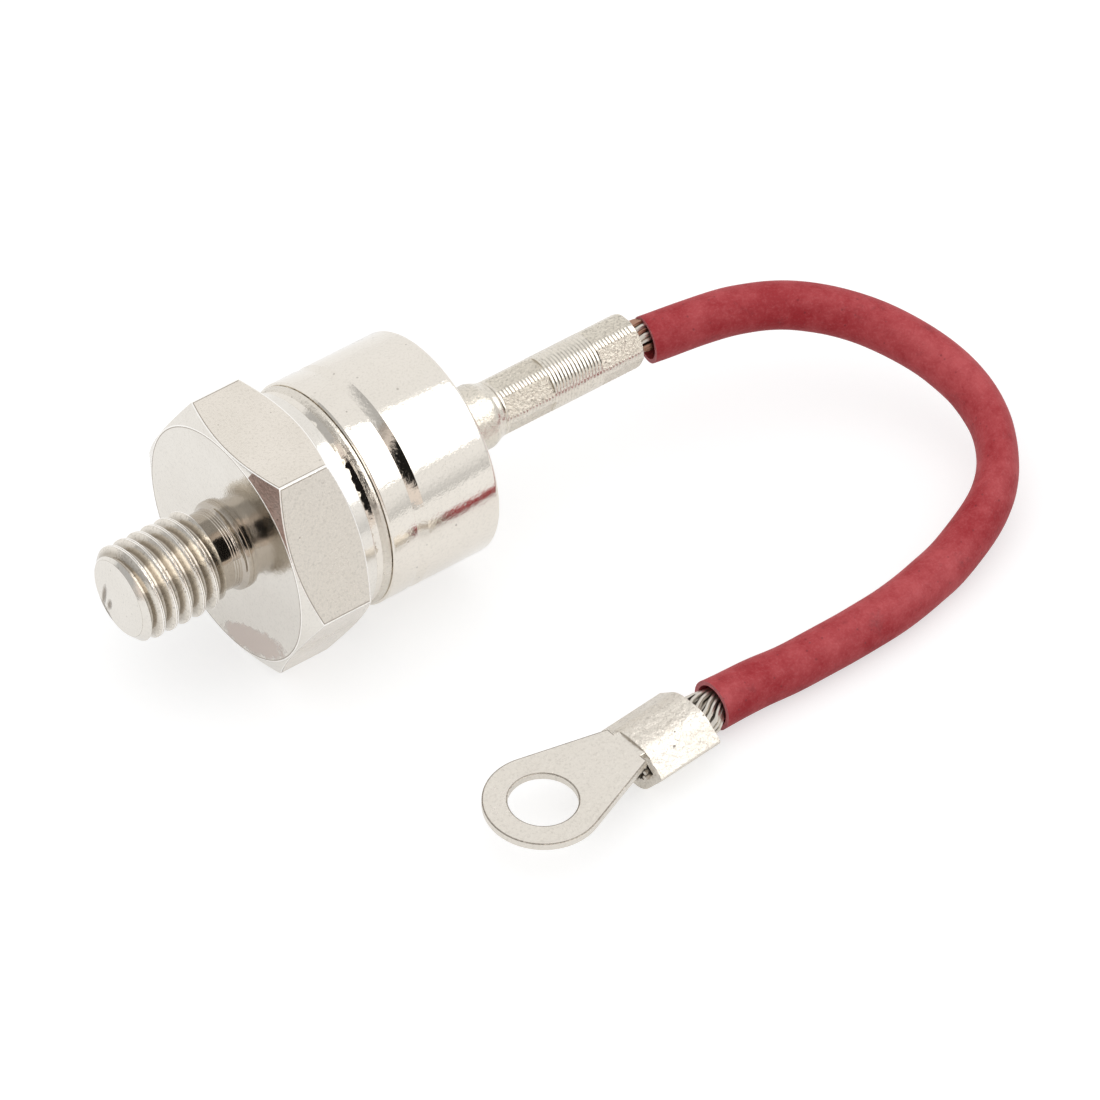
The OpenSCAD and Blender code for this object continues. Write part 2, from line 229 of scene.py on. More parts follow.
# %% Strand bundle
STRAND_D = 0.40 * MM
STRAND_SIDES = 6
LAY_LENGTH = 34 * MM
LAYERS = ((0, 1), (0.40, 6), (0.78, 12), (1.15, 18))
FAN_WIDTH, FAN_START, FAN_RUN = 1.72, 2 * MM, 2.4 * MM
SWAY, SWAY_REACH = 0.08 * MM, 1.1 * MM
random.seed(4)
conductor_run = run_of(conductor_path)
tube_gap = TUBE_DEPTH + 0.8 * MM
lug_gap = conductor_run[-1] - BARREL_LENGTH - 1 * MM
strand_points, strand_faces, strand_tone = [], [], []
bundle = list(zip(stations(conductor_path), conductor_run))
for layer, count in LAYERS:
    for wire in range(count):
        tone = random.random()
        stray = Vector((random.uniform(-1, 1), random.uniform(-1, 1)))
        overhang = random.uniform(-0.2, 0.5) * MM
        base = len(strand_points)
        for i, ((point, across, over), along) in enumerate(bundle):
            turn = math.tau * (wire / count + along / LAY_LENGTH)
            near_gap = min(abs(along - tube_gap), abs(along - lug_gap)) / SWAY_REACH
            sway = SWAY * math.exp(-near_gap ** 2) * stray
            fan = min(1, max(0, (along - lug_gap + FAN_START) / FAN_RUN))
            wide = 1 + (FAN_WIDTH - 1) * fan * fan * (3 - 2 * fan)
            centre = (point + across * (layer * MM * wide * math.cos(turn) + sway.x)
                      + over * (layer * MM * math.sin(turn) + sway.y))
            if i == len(bundle) - 1:
                centre -= overhang * LUG_HEADING
            for k in range(STRAND_SIDES):
                side = math.tau * k / STRAND_SIDES
                rim = across * math.cos(side) + over * math.sin(side)
                strand_points.append(centre + STRAND_D / 2 * rim)
                strand_tone.append(tone)
        strand_faces += wall_faces(len(bundle), STRAND_SIDES, base, False)
        end = base + (len(bundle) - 1) * STRAND_SIDES
        strand_faces.append(tuple(range(base, base + STRAND_SIDES)))
        strand_faces.append(tuple(range(end + STRAND_SIDES - 1, end - 1, -1)))
strands = mesh_piece("copper_strands", strand_points, strand_faces)
tone_layer = strands.data.attributes.new("wire_tone", "FLOAT", "POINT")
tone_layer.data.foreach_set("value", strand_tone)
print("strands", sum(count for layer, count in LAYERS), "wires,", len(strand_faces), "faces")

# %% [markdown]
# ## Turned metal
# The stud, collar, cap and tube are all round things from a lathe or a press, so each is drawn as half a
# section and spun round the diode's axis. A corner with a radius is replaced by a short arc, because a
# real edge is never knife sharp and its bright line is what the eye reads as metal.

# %% Draw and spin a section
SPIN_STEPS = 144
SAME_POINT = 0.0005 * MM
ARC_STEPS = 4


def softened(corners, closed):
    """Section points, in millimetres from the seat face and the axis, with round corners."""
    count = len(corners)
    points = []
    for i, (x, r, radius) in enumerate(corners):
        here = Vector((x, r))
        if radius == 0 or (not closed and i in (0, count - 1)):
            points.append(here)
            continue
        before = Vector(corners[i - 1][:2]) - here
        after = Vector(corners[(i + 1) % count][:2]) - here
        half = before.angle(after) / 2
        inset = min(radius / math.tan(half), 0.49 * before.length, 0.49 * after.length)
        radius = inset * math.tan(half)
        centre = here + (before.normalized() + after.normalized()).normalized() * radius / math.sin(half)
        start = here + before.normalized() * inset - centre
        end = here + after.normalized() * inset - centre
        sweep = start.angle_signed(end)
        for j in range(ARC_STEPS + 1):
            turn = -sweep * j / ARC_STEPS
            points.append(centre + Matrix.Rotation(turn, 2) @ start)
    return points + points[:1] if closed else points


def named(name):
    """The piece that was just added, with its name."""
    piece = bpy.context.object
    piece.name = piece.data.name = name
    return piece


def edit_all():
    """Goes into edit mode with all of the piece selected."""
    bpy.ops.object.mode_set(mode="EDIT")
    bpy.ops.mesh.select_all(action="SELECT")


def face_outwards():
    """Turns all faces outwards and leaves edit mode."""
    bpy.ops.mesh.select_all(action="SELECT")
    bpy.ops.mesh.normals_make_consistent(inside=False)
    bpy.ops.object.mode_set(mode="OBJECT")


def draw_line(name, points, axis_z):
    """An open line of edges through points given as millimetres along and away from the axis."""
    bpy.ops.object.select_all(action="DESELECT")
    bpy.ops.mesh.primitive_plane_add(size=MM)
    line = named(name)
    edit_all()
    bpy.ops.mesh.merge(type="CENTER")
    bpy.ops.transform.translate(value=(SEAT_X + points[0].x * MM, 0, axis_z + points[0].y * MM))
    for a, b in zip(points, points[1:]):
        step = (b - a) * MM
        bpy.ops.mesh.extrude_vertices_move(TRANSFORM_OT_translate={"value": (step.x, 0, step.y)})
    bpy.ops.object.mode_set(mode="OBJECT")
    return line


def spun(name, corners, closed=False):
    """A turned piece: its half section, spun a full turn round the axis."""
    piece = draw_line(name, softened(corners, closed), AXIS_Z)
    edit_all()
    bpy.ops.mesh.spin(steps=SPIN_STEPS, angle=math.tau, center=(0, 0, AXIS_Z), axis=(1, 0, 0))
    bpy.ops.mesh.select_all(action="SELECT")
    bpy.ops.mesh.remove_doubles(threshold=SAME_POINT)
    face_outwards()
    return piece


print("turning tools ready")


# %% Change and join pieces
def choose(piece):
    """Makes the piece the only selected one and the active one."""
    bpy.ops.object.select_all(action="DESELECT")
    piece.select_set(True)
    bpy.context.view_layer.objects.active = piece


def settle(piece, place):
    """Gives the piece its place and applies it, so that the object itself stays at the origin."""
    piece.matrix_world = place
    choose(piece)
    bpy.ops.object.transform_apply(location=True, rotation=True, scale=True)


def modify(piece, kind, **settings):
    """Gives the piece a modifier with these settings and applies it."""
    choose(piece)
    bpy.ops.object.modifier_add(type=kind)
    modifier = piece.modifiers[-1]
    for key, value in settings.items():
        setattr(modifier, key, value)
    bpy.ops.object.modifier_apply(modifier=modifier.name)


def combine(piece, tool, operation):
    """Cuts, keeps the common part of, or adds the tool to the piece, and removes the tool."""
    modify(piece, "BOOLEAN", operation=operation, solver="EXACT", object=tool)
    bpy.data.objects.remove(tool, do_unlink=True)


def measure(piece):
    """Prints the piece's size in millimetres and its number of faces."""
    sides = [round(side / MM, 2) for side in piece.dimensions]
    print(piece.name, sides, "mm,", len(piece.data.polygons), "faces")


print("joining tools ready")

# %% [markdown]
# ## Thread
# The stud's M8 thread is a ridge that climbs 1.25 mm each turn. A row of plain rings would look nearly
# the same from far off, but up close the ridge has to climb, so one pitch of the section goes through a
# Screw modifier. The rod comes out too long, is cut square at both ends, and keeps only what lies inside
# a bar with a chamfered tip and a run-out cone, as a die cuts it.

# %% Threaded rod
PITCH = 1.25
CREST_R, ROOT_R = 4.0, 3.28
rod_start = -12.0
section = [Vector(p) for p in (
    (rod_start, ROOT_R), (rod_start + 0.10, ROOT_R + 0.02), (rod_start + 0.48, CREST_R - 0.07),
    (rod_start + 0.53, CREST_R - 0.015), (rod_start + 0.58, CREST_R), (rod_start + 0.62, CREST_R - 0.01),
    (rod_start + 0.65, CREST_R - 0.06), (rod_start + 0.68, CREST_R - 0.01), (rod_start + 0.72, CREST_R),
    (rod_start + 0.77, CREST_R - 0.015), (rod_start + 0.82, CREST_R - 0.07),
    (rod_start + 1.15, ROOT_R + 0.02), (rod_start + PITCH, ROOT_R),
)]
rod = draw_line("threaded_rod", section, 0)
modify(rod, "SCREW", axis="X", angle=math.tau, screw_offset=PITCH * MM, iterations=9, steps=96,
       render_steps=96, use_merge_vertices=True, merge_threshold=SAME_POINT)
settle(rod, Matrix.Translation((0, 0, AXIS_Z)))
bpy.ops.object.mode_set(mode="EDIT")
for cut_x, outward in ((-10.4, -1), (-1.9, 1)):
    bpy.ops.mesh.select_all(action="SELECT")
    bpy.ops.mesh.remove_doubles(threshold=SAME_POINT)
    bpy.ops.mesh.select_all(action="SELECT")
    bpy.ops.mesh.bisect(plane_co=(SEAT_X + cut_x * MM, 0, 0), plane_no=(outward, 0, 0),
                        use_fill=True, clear_outer=True)
face_outwards()
envelope = spun("rod_envelope", [
    (-10, 0, 0), (-10, 3.2, 0.12), (-9.2, 4.05, 0), (-2.75, 4.05, 0), (-2.3, 3.24, 0),
    (-2.1, 2.9, 0), (-2.1, 0, 0),
])
combine(rod, envelope, "INTERSECT")
measure(rod)

# %% [markdown]
# ## Hexagon, neck and collar
# The hexagon starts as a six-sided cylinder. Its corners are turned back by a cone on each face, which leaves
# the curved edges that every bolt head has, so it keeps what lies inside a double cone. Its edges carry a
# painted highlight, with a thin painted dark line beside them. A bevel would round them, but it shrinks to
# nothing at the tiny edges that the cone leaves. So the cylinder is made a hair too small and each face is
# inset twice: once rising to its true plane, which leaves a slanting strip for the painted highlight, and once
# level, for the painted dark line. The neck, the collar and the rod are then added to make one solid.

# %% Inset rims and smooth shading
HEX_AF, HEX_LENGTH = 20.0, 6.3
CONE_R, CONE_SLOPE = 9.9, math.tan(math.radians(30))
EDGE_STRIP_RISE, EDGE_STRIP_WIDE, MARGIN_WIDE = 0.025, 0.1, 0.08
LARGE_FACE = 20 * MM ** 2
SHORT_EDGE, NEARLY_FLAT = 0.006 * MM, math.radians(0.3)


def inset_rims(piece, test, strips, one_by_one):
    """Sets strips of (width, rise) in millimetres inside the outline of the faces that pass the test."""
    choose(piece)
    edit_all()
    bpy.ops.mesh.select_mode(type="FACE")
    bpy.ops.mesh.select_all(action="SELECT")
    bpy.ops.mesh.remove_doubles(threshold=SHORT_EDGE)
    bpy.ops.mesh.dissolve_limited(angle_limit=NEARLY_FLAT)
    bpy.ops.mesh.select_all(action="DESELECT")
    bpy.ops.object.mode_set(mode="OBJECT")
    for face in piece.data.polygons:
        face.select = test(face)
    print(piece.name, "faces with inset rims", sum(face.select for face in piece.data.polygons))
    bpy.ops.object.mode_set(mode="EDIT")
    for width, rise in strips:
        bpy.ops.mesh.inset(thickness=width * MM, depth=rise * MM, use_individual=one_by_one)
    bpy.ops.mesh.select_mode(type="VERT")
    bpy.ops.object.mode_set(mode="OBJECT")


def smooth_over(piece, angle):
    """Smooth shading that keeps the edges sharper than the angle."""
    choose(piece)
    bpy.ops.object.shade_smooth_by_angle(angle=math.radians(angle))


def even_normals(piece):
    """Lets the large faces rule the shading, so that they look flat beside their rims."""
    modify(piece, "WEIGHTED_NORMAL", weight=100, keep_sharp=True)


def ribs(start, end, radius, pitch, depth):
    """Fine rings that a turning tool leaves, as section corners."""
    count = round((end - start) / pitch)
    step = (end - start) / count
    return [corner for i in range(count) for corner in (
        (start + i * step, radius - depth, 0), (start + (i + 0.3) * step, radius, 0),
        (start + (i + 0.7) * step, radius, 0))]


# The margin beside each rim carries a painted dark line.
print("rims", EDGE_STRIP_WIDE, "mm wide, painted dark line beside them", MARGIN_WIDE, "mm")

# %% Stud base
bpy.ops.object.select_all(action="DESELECT")
bpy.ops.mesh.primitive_cylinder_add(vertices=6, radius=(HEX_AF - 2 * EDGE_STRIP_RISE) / math.sqrt(3) * MM,
                                    depth=(HEX_LENGTH - 2 * EDGE_STRIP_RISE) * MM)
base = named("plated_stud_base")
settle(base, Matrix.Translation((SEAT_X + HEX_LENGTH / 2 * MM, 0, AXIS_Z))
       @ Matrix.Rotation(math.pi / 2, 4, "Y"))
cone_reach = CONE_R + HEX_LENGTH / 2 / CONE_SLOPE
cones = spun("corner_cones", [
    (0, 0, 0), (0, CONE_R, 0), (HEX_LENGTH / 2, cone_reach, 0), (HEX_LENGTH, CONE_R, 0),
    (HEX_LENGTH, 0, 0),
])
combine(base, cones, "INTERSECT")
inset_rims(base, lambda face: face.area > LARGE_FACE, ((EDGE_STRIP_WIDE, EDGE_STRIP_RISE), (MARGIN_WIDE, 0)), True)
neck = spun("neck_and_collar", [
    (-4, 0, 0), (-4, 2.8, 0), (-2.45, 2.8, 0), (-2.4, 3.23, 0.1), (-1.4, 3.24, 0),
    *ribs(-1.36, -0.7, 3.25, 0.22, 0.02),
    (-0.64, 3.28, 0.1), (-0.52, 3.45, 0.1), (-0.44, 3.68, 0.12), (-0.1, 3.72, 0.1), (0.05, 3.66, 0),
    (1, 3.6, 0), (1, 9.2, 0), (7.7, 9.2, 0.14), (7.7, 0, 0),
])
combine(base, neck, "UNION")
combine(base, rod, "UNION")
smooth_over(base, 28)
even_normals(base)
measure(base)

# %% [markdown]
# ## Weld ring and cap
# The ring is a rough weld zone with a full bead, so its points are nudged at random after it is spun. The
# cap is drawn sheet: a wall with a rolled groove, a narrow bevel in front and a rounded rear edge, and a
# hole in its end for the glass. Its section is a closed loop, so the wall has a true inside.

# %% Weld ring
BEAD_FROM, BEAD_ROUGH = 8.34, 0.006 * MM
ring = spun("weld_bead", [
    (7.7, 7.57, 0), (7.7, 8.66, 0), (7.76, 8.7, 0.03), (8.28, 8.94, 0), (BEAD_FROM, 8.99, 0),
    (8.48, 9.11, 0.15), (8.74, 9.2, 0.25), (8.98, 9.22, 0.1), (9.06, 9.16, 0.03), (9.1, 9.06, 0),
    (9.1, 7.57, 0),
], closed=True)
edit_all()
bpy.ops.transform.vertex_random(offset=BEAD_ROUGH, uniform=0.1, seed=3)
bpy.ops.object.mode_set(mode="OBJECT")
smooth_over(ring, 60)
measure(ring)

# %% Cap
CAP_FRONT, CAP_REAR, CAP_R, CAP_WALL, CAP_END, SEAL_R = 9.1, 19.25, 9.4, 0.9, 1.2, 4.2
CAP_BEVEL = 0.13
GROOVE_FRONT, GROOVE_REAR, GROOVE_DEPTH = 11.46, 12.46, 0.36
groove = [(GROOVE_FRONT, CAP_R, 0.03), (GROOVE_FRONT + 0.04, CAP_R - GROOVE_DEPTH, 0.02),
          (GROOVE_REAR, CAP_R, 0.04)]
cap = spun("drawn_cap", [
    (CAP_FRONT, CAP_R - CAP_WALL, 0), (CAP_FRONT, CAP_R - CAP_BEVEL, 0.03),
    (CAP_FRONT + CAP_BEVEL, CAP_R, 0.06), *groove,
    (CAP_REAR, CAP_R, 0.4), (CAP_REAR, SEAL_R, 0.1), (CAP_REAR - CAP_END, SEAL_R, 0),
    (CAP_REAR - CAP_END, CAP_R - CAP_WALL, 0),
], closed=True)
smooth_over(cap, 35)
measure(cap)

# %% [markdown]
# ## Glass seal
# Molten glass climbs a little up the tube and leaves a hollow curve, so the raised part of the section is
# a short concave slope between the cap's hole and the tube's foot.

# %% Glass
FOOT_R = 2.7
glass = spun("glass_bead", [
    (CAP_REAR - CAP_END, FOOT_R, 0), (CAP_REAR - CAP_END, SEAL_R, 0), (CAP_REAR - 0.05, SEAL_R, 0.05),
    (CAP_REAR + 0.02, 3.9, 0.3), (CAP_REAR + 0.12, 3.3, 0.5), (CAP_REAR + 0.45, 2.8, 0.1),
    (CAP_REAR + 0.5, FOOT_R, 0),
], closed=True)
smooth_over(glass, 40)
measure(glass)

# %% [markdown]
# ## Terminal tube
# The tube was turned with a coarse feed, which left fine rings all over it, and then squeezed twice by a
# six-jawed tool. The rings are in its spun section. For the squeezes, a six-sided face is extruded along
# the tube and scaled in and out as it goes, and the tube keeps what lies inside that form.

# %% Tube
TUBE_R, BORE_R, MOUTH_AT = 2.3, 1.55, 38.4
CRIMPS = ((25.4, 29.8), (34.5, 39.2))
CRIMP_AF = 4.25
CRIMP_TURN = math.radians(-8)
JAWS_FROM, JAWS_WIDE, FOOT_RAMP, STEP_RAMP = 17.5, 3.4, 0.5, 0.22
tube = spun("crimped_tube", [
    (CAP_REAR - CAP_END, BORE_R, 0), (CAP_REAR - CAP_END, FOOT_R, 0), (19.6, FOOT_R, 0),
    *ribs(19.7, 23.9, 2.73, 0.35, 0.027), (24.0, 2.68, 0), (24.3, 2.58, 0.2), (24.6, 2.43, 0.2),
    (24.95, 2.34, 0.2),
    *ribs(25.1, 38.12, TUBE_R, 0.31, 0.045),
    (38.15, TUBE_R - 0.02, 0), (38.32, TUBE_R - 0.04, 0.03), (MOUTH_AT, TUBE_R - 0.13, 0.02),
    (MOUTH_AT, BORE_R + 0.1, 0.05), (MOUTH_AT - 0.2, BORE_R, 0),
], closed=True)
bpy.ops.object.select_all(action="DESELECT")
bpy.ops.mesh.primitive_circle_add(vertices=6, radius=JAWS_WIDE * MM, fill_type="NGON")
jaws = bpy.context.object
settle(jaws, Matrix.Translation((SEAT_X + JAWS_FROM * MM, 0, AXIS_Z))
       @ Matrix.Rotation(CRIMP_TURN, 4, "X") @ Matrix.Rotation(math.pi / 2, 4, "Y"))
edit_all()
narrow = CRIMP_AF / math.sqrt(3)
here, size = JAWS_FROM, JAWS_WIDE
(first_from, first_to), (last_from, last_to) = CRIMPS
for to, radius in (
    (first_from - FOOT_RAMP, JAWS_WIDE), (first_from, narrow), (first_to, narrow),
    (first_to + STEP_RAMP, JAWS_WIDE), (last_from - STEP_RAMP, JAWS_WIDE), (last_from, narrow),
    (last_to, narrow),
):
    bpy.ops.mesh.extrude_region_move(TRANSFORM_OT_translate={"value": ((to - here) * MM, 0, 0)})
    grow = radius / size
    bpy.ops.transform.resize(value=(1, grow, grow), center_override=(SEAT_X + to * MM, 0, AXIS_Z))
    here, size = to, radius
face_outwards()
combine(tube, jaws, "INTERSECT")
smooth_over(tube, 30)
even_normals(tube)
measure(tube)

# %% [markdown]
# ## Ring lug
# The lug is cut from tinned copper sheet: one end is a ring, the other is rolled into a barrel and
# pressed flat on the wire, which leaves a level top and two slanting sides that meet in a corner low
# down. The barrel is a six-sided cylinder, scaled wide, with its top narrowed and its side corners
# lifted, then rounded and bored. The tongue is a disc, a wedge and a neck, added together and drilled,
# with its rims inset as on the hexagon, because shearing rounds the edge of a sheet. The lug is built
# level at the origin and set on the lead's end last.

# %% Lug barrel
LUG_REACH, LUG_HOLE_R, LUG_RING_R, LUG_SHEET = 15.2, 2.7, 4.65, 0.65
BARREL_HIGH, BARREL_WIDE, BARREL_FLAT, BARREL_CORNER = 4.5, 7.0, 2.9, 0.5
HOLLOW_HIGH, HOLLOW_WIDE, HOLLOW_FLAT, HOLLOW_CORNER = 2.87, 4.8, 2.2, 0.38
TONGUE_HALF, TONGUE_GAP, NECK_HALF, TONGUE_DROP = 2.2, 0.45, 1.5, 0.2
barrel_len = BARREL_LENGTH / MM
tongue_z = BARREL_HIGH / 2 - TONGUE_DROP - LUG_SHEET / 2
RIM_RISE, RIM_WIDE = 0.05, 0.11
TOP_ROUND, SIDE_ROUND, MOUTH_ROUND = (0.75, 7), (0.25, 4), (0.09, 2)


def pick(piece, test):
    """Goes into edit mode with the points selected whose place passes the test."""
    choose(piece)
    bpy.ops.object.mode_set(mode="EDIT")
    bpy.ops.mesh.select_mode(type="VERT")
    bpy.ops.mesh.select_all(action="DESELECT")
    bpy.ops.object.mode_set(mode="OBJECT")
    for point in piece.data.vertices:
        point.select = test(point.co)
    bpy.ops.object.mode_set(mode="EDIT")


def pressed_bar(name, high, wide, flat, corner, front, rear):
    """A six-sided bar along X with a flat top and lifted side corners, in millimetres."""
    bpy.ops.object.select_all(action="DESELECT")
    bpy.ops.mesh.primitive_cylinder_add(vertices=6, radius=0.5, depth=1)
    bar = named(name)
    stretch = Matrix.Diagonal((high / math.cos(math.pi / 6) * MM, wide * MM, (rear - front) * MM, 1))
    settle(bar, Matrix.Translation(((front + rear) / 2 * MM, 0, 0))
           @ Matrix.Rotation(math.pi / 2, 4, "Y") @ stretch)
    pick(bar, lambda place: abs(place.z) > 0.4 * high * MM)
    bpy.ops.transform.resize(value=(1, 2 * flat / wide, 1), center_override=(0, 0, 0))
    bpy.ops.object.mode_set(mode="OBJECT")
    pick(bar, lambda place: abs(place.z) < 0.1 * high * MM)
    bpy.ops.transform.translate(value=(0, 0, corner * MM))
    bpy.ops.object.mode_set(mode="OBJECT")
    return bar


def round_edges(piece, test, width, segments):
    """Rounds the edges whose two ends pass the test."""
    pick(piece, lambda place: False)
    bpy.ops.mesh.select_mode(type="EDGE")
    bpy.ops.object.mode_set(mode="OBJECT")
    for edge in piece.data.edges:
        edge.select = test(*(piece.data.vertices[i].co for i in edge.vertices))
    bpy.ops.object.mode_set(mode="EDIT")
    bpy.ops.mesh.bevel(offset=width * MM, segments=segments, affect="EDGES")
    bpy.ops.object.mode_set(mode="OBJECT")


barrel = pressed_bar("barrel", BARREL_HIGH, BARREL_WIDE, BARREL_FLAT, BARREL_CORNER, -barrel_len, 0)
round_edges(barrel, lambda a, b: abs(a.x - b.x) > MM and abs(a.z) > 0.4 * BARREL_HIGH * MM, *TOP_ROUND)
round_edges(barrel, lambda a, b: abs(a.x - b.x) > MM and min(abs(a.y), abs(b.y)) > 0.49 * BARREL_WIDE * MM,
            *SIDE_ROUND)
hollow_shape = (HOLLOW_HIGH, HOLLOW_WIDE, HOLLOW_FLAT, HOLLOW_CORNER)
hollow = pressed_bar("hollow", *hollow_shape, -barrel_len - 1, 1)
combine(barrel, hollow, "DIFFERENCE")
modify(barrel, "BEVEL", width=MOUTH_ROUND[0] * MM, segments=MOUTH_ROUND[1], limit_method="ANGLE",
       angle_limit=math.radians(40))
measure(barrel)


# %% Lug tongue
def round_bar(name, radius, length, centre, sides=96):
    """A plain upright cylinder, in millimetres."""
    bpy.ops.object.select_all(action="DESELECT")
    bpy.ops.mesh.primitive_cylinder_add(vertices=sides, radius=radius * MM, depth=length * MM)
    bar = named(name)
    settle(bar, Matrix.Translation(Vector(centre) * MM))
    return bar


def slab(name, front, rear, half_width):
    """A flat block of the sheet's thickness at the tongue's height, in millimetres."""
    bpy.ops.object.select_all(action="DESELECT")
    bpy.ops.mesh.primitive_cube_add(size=1)
    block = named(name)
    settle(block, Matrix.Translation(Vector(((front + rear) / 2, 0, tongue_z)) * MM)
           @ Matrix.Diagonal(((rear - front) * MM, 2 * half_width * MM, (LUG_SHEET - 2 * RIM_RISE) * MM, 1)))
    return block


lug = round_bar("tinned_ring_lug", LUG_RING_R, LUG_SHEET - 2 * RIM_RISE, (-LUG_REACH, 0, tongue_z))
root = Vector((LUG_REACH - barrel_len - TONGUE_GAP, TONGUE_HALF))
lean = math.atan2(root.y, root.x) + math.acos(LUG_RING_R / root.length)
touch = LUG_RING_R * Vector((math.cos(lean), math.sin(lean)))
wedge = slab("wedge", touch.x - LUG_REACH, root.x - LUG_REACH, touch.y)
pick(wedge, lambda place: place.x > (root.x - LUG_REACH - 0.1) * MM)
bpy.ops.transform.resize(value=(1, TONGUE_HALF / touch.y, 1), center_override=(0, 0, 0))
bpy.ops.object.mode_set(mode="OBJECT")
combine(lug, wedge, "UNION")
combine(lug, slab("neck", root.x - LUG_REACH - 0.5, -barrel_len + 0.8, NECK_HALF), "UNION")
combine(lug, round_bar("screw_hole", LUG_HOLE_R, 4, (-LUG_REACH, 0, tongue_z)), "DIFFERENCE")
inset_rims(lug, lambda face: abs(face.normal.z) > 0.99, ((RIM_WIDE, RIM_RISE),), False)
combine(lug, barrel, "UNION")
wire_way = pressed_bar("wire_way", *hollow_shape, -barrel_len - 0.4, -barrel_len + 2)
combine(lug, wire_way, "DIFFERENCE")
settle(lug, Matrix.Translation(BARREL_REAR) @ Matrix.Rotation(LUG_TURN, 4, "Z"))
smooth_over(lug, 32)
even_normals(lug)
measure(lug)

# %% [markdown]
# ## Finishes
# Every material below starts from what the real surface is. Colours are written as sRGB hex values and
# turned to linear by one function, patterns are sized in millimetres on Object coordinates, and one small
# function adds a node with its settings and links.


# %% Material helpers
def linear(code):
    """An sRGB hex colour as a linear colour with full alpha."""
    channels = [int(code[i:i + 2], 16) / 255 for i in (1, 3, 5)]
    return (*(c / 12.92 if c <= 0.04045 else ((c + 0.055) / 1.055) ** 2.4 for c in channels), 1)


def feed(tree, source, node, socket):
    """Links a socket, or the first output that a node has in use, to an input of a node."""
    if isinstance(source, bpy.types.Node):
        source = next(output for output in source.outputs if output.enabled)
    tree.links.new(source, node.inputs[socket])


def add(tree, kind, values=None, links=None, **settings):
    """A node with its settings, its socket values and its links."""
    made = tree.nodes.new("ShaderNode" + kind)
    for key, value in settings.items():
        setattr(made, key, value)
    for socket, value in (values or {}).items():
        made.inputs[socket].default_value = value
    for socket, source in (links or {}).items():
        feed(tree, source, made, socket)
    return made


def per_mm(size):
    """Texture scale at which one feature is about this many millimetres."""
    return 1 / (size * MM)


def blank(name, values=None):
    """A new material with its shader's plain values, and its Object coordinates."""
    material = bpy.data.materials.new(name)
    material.use_nodes = True
    tree = material.node_tree
    tree.nodes.clear()
    shader = add(tree, "BsdfPrincipled", values)
    add(tree, "OutputMaterial", links={"Surface": shader})
    place = add(tree, "TexCoord").outputs["Object"]
    return material, tree, shader, place


def dress(piece, *materials):
    """Puts the materials on the piece, the first one all over."""
    piece.data.materials.clear()
    for material in materials:
        piece.data.materials.append(material)


print("material helpers ready")

# %% [markdown]
# Nickel plating is a warm, light, fairly sharp mirror. Plating on a used part is never even: it has faint
# dull clouds, an orange-peel ripple that frays the edges of every reflection, and many small pits.
# Clouds, ripple and grain come from noise at three sizes. The pits are the middles of Voronoi cells, each
# with a size of its own from the cell's random colour, so that most are specks and a few are large.

# %% Nickel plating
CLOUD_SIZE, GRAIN_SIZE = 4, 0.22
PIT_FEW, PIT_SMALL, PIT_LARGE, PIT_DEEP = 2.2, 0.03, 0.2, -1.3


def nickel(name, colours, roughness, ripple, pit_space=0.8, pit_dark=0.45, grain=0.12):
    """Plating with dull clouds, a ripple of (size, depth), pits and grain, with lengths in millimetres."""
    material, tree, shader, place = blank(name, {"Metallic": 1})
    clouds = add(tree, "TexNoise", {"Scale": per_mm(CLOUD_SIZE), "Detail": 5, "Roughness": 0.6},
                 {"Vector": place})
    tint = add(tree, "Mix", {"A": linear(colours[0]), "B": linear(colours[1])},
               {"Factor": clouds}, data_type="RGBA")
    peel = add(tree, "TexNoise", {"Scale": per_mm(ripple[0]), "Detail": 4, "Roughness": 0.62},
               {"Vector": place})
    dust = add(tree, "TexNoise", {"Scale": per_mm(GRAIN_SIZE), "Detail": 3, "Roughness": 0.7},
               {"Vector": place})
    specks = add(tree, "MapRange", {"From Min": 0.5, "From Max": 0.72, "To Max": grain}, {"Value": dust})
    cells = add(tree, "TexVoronoi", {"Scale": per_mm(pit_space)}, {"Vector": place})
    chance = add(tree, "SeparateColor", links={"Color": cells.outputs["Color"]})
    rare = add(tree, "Math", {1: PIT_FEW}, {0: chance.outputs["Red"]}, operation="POWER")
    width = add(tree, "MapRange", {"To Min": PIT_SMALL, "To Max": PIT_LARGE}, {"Value": rare})
    pits = add(tree, "MapRange", {"From Min": 0.01, "To Min": pit_dark, "To Max": 0},
               {"Value": cells, "From Max": width})
    marks = add(tree, "Math", links={0: specks, 1: pits}, operation="MAXIMUM")
    colour = add(tree, "Mix", {"B": linear("#70685E")}, {"Factor": marks, "A": tint}, data_type="RGBA")
    feed(tree, colour, shader, "Base Color")
    dull = add(tree, "MapRange", {"From Min": 0.35, "From Max": 0.7, "To Min": roughness[0],
                                  "To Max": roughness[1]}, {"Value": clouds})
    feed(tree, dull, shader, "Roughness")
    holes = add(tree, "Math", {1: PIT_DEEP}, {0: pits}, operation="MULTIPLY")
    relief = add(tree, "Math", links={0: peel, 1: holes}, operation="ADD")
    bump = add(tree, "Bump", {"Strength": 1, "Distance": ripple[1] * MM}, {"Height": relief})
    feed(tree, bump, shader, "Normal")
    return material


# Turned faces are nearly mirrors, with faint clouds.
bar_nickel = nickel("nickel plating on turned copper", ("#EBE7E0", "#E1DCD4"), (0.10, 0.20), (0.5, 0.012))
# Rolled flats have a soft sheen and many pits.
flat_nickel = nickel("nickel plating on rolled hexagon flats", ("#EEE7DD", "#DED7CC"), (0.2, 0.3),
                     (0.4, 0.02), 0.8, 0.62, 0.2)
